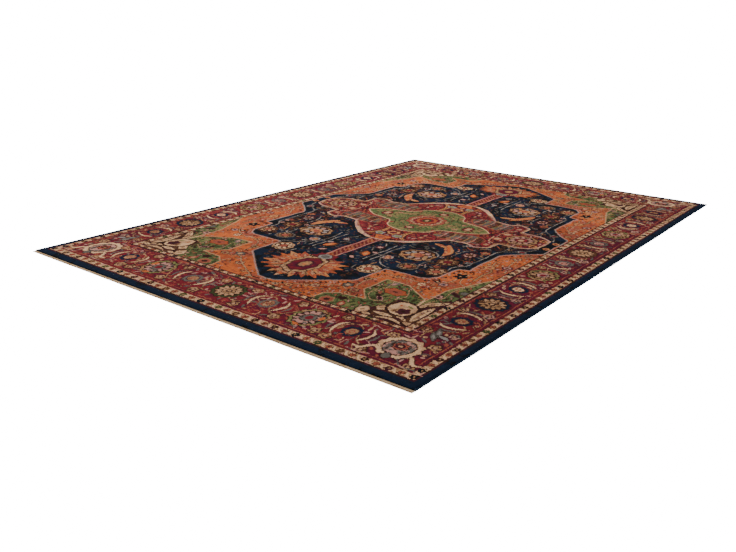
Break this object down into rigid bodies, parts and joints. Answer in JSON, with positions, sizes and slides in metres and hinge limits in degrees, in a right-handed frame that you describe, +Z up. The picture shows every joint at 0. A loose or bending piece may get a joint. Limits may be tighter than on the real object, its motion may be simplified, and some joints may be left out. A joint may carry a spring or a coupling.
{
  "type": "area rug",
  "caption": "Flat rectangular knotted wool area rug with bordered medallion pile, overcast selvedges and flat-woven kilim ends.",
  "frame": {"origin": "middle of the underside, on the floor", "axes": "+X along the rug's length from the near end to the far end, +Y across its width to the left side, +Z up out of the pile"},
  "size_m": [3.508, 2.44, 0.009],
  "materials": {
    "cotton_foundation": "plain weave, matt",
    "cotton_hem": "rolled flat weave, matt",
    "cotton_kilim": "flat weave, matt",
    "cotton_warp_ends": "loose cotton yarn ends, matt",
    "wool_border": "cut wool pile, patterned, soft sheen",
    "wool_green": "cut wool pile, soft sheen",
    "wool_guard": "cut wool pile, patterned, soft sheen",
    "wool_navy": "cut wool pile, soft sheen",
    "wool_red": "cut wool pile, soft sheen",
    "wool_rust": "cut wool pile, soft sheen",
    "wool_selvedge": "overcast wool yarn, matt",
    "wool_twining": "twined wool cord, matt"
  },
  "bodies": {
    "root": {"foundation_weave": "cotton_foundation", "hem_roll_far": "cotton_hem", "hem_roll_near": "cotton_hem", "kilim_end_far": "cotton_kilim", "kilim_end_near": "cotton_kilim", "pile_centre_star": "wool_green", "pile_corner_far_left": "wool_green", "pile_corner_far_right": "wool_green", "pile_corner_near_left": "wool_green", "pile_corner_near_right": "wool_green", "pile_edge_band_far": "wool_navy", "pile_edge_band_left": "wool_navy", "pile_edge_band_near": "wool_navy", "pile_edge_band_right": "wool_navy", "pile_inner_guard_far": "wool_guard", "pile_inner_guard_left": "wool_guard", "pile_inner_guard_near": "wool_guard", "pile_inner_guard_right": "wool_guard", "pile_inner_medallion": "wool_red", "pile_main_border_far": "wool_border", "pile_main_border_left": "wool_border", "pile_main_border_near": "wool_border", "pile_main_border_right": "wool_border", "pile_medallion_ground": "wool_navy", "pile_open_field": "wool_rust", "pile_outer_guard_far": "wool_guard", "pile_outer_guard_left": "wool_guard", "pile_outer_guard_near": "wool_guard", "pile_outer_guard_right": "wool_guard", "pile_pendant_far": "wool_rust", "pile_pendant_near": "wool_rust", "pile_pole_far": "wool_red", "pile_pole_near": "wool_red", "selvedge_core_left": "cotton_foundation", "selvedge_core_right": "cotton_foundation", "selvedge_wrap_left": "wool_selvedge", "selvedge_wrap_right": "wool_selvedge", "twining_cord_far": "wool_twining", "twining_cord_near": "wool_twining", "warp_tufts_far": "cotton_warp_ends", "warp_tufts_near": "cotton_warp_ends"}
  },
  "joints": []
}
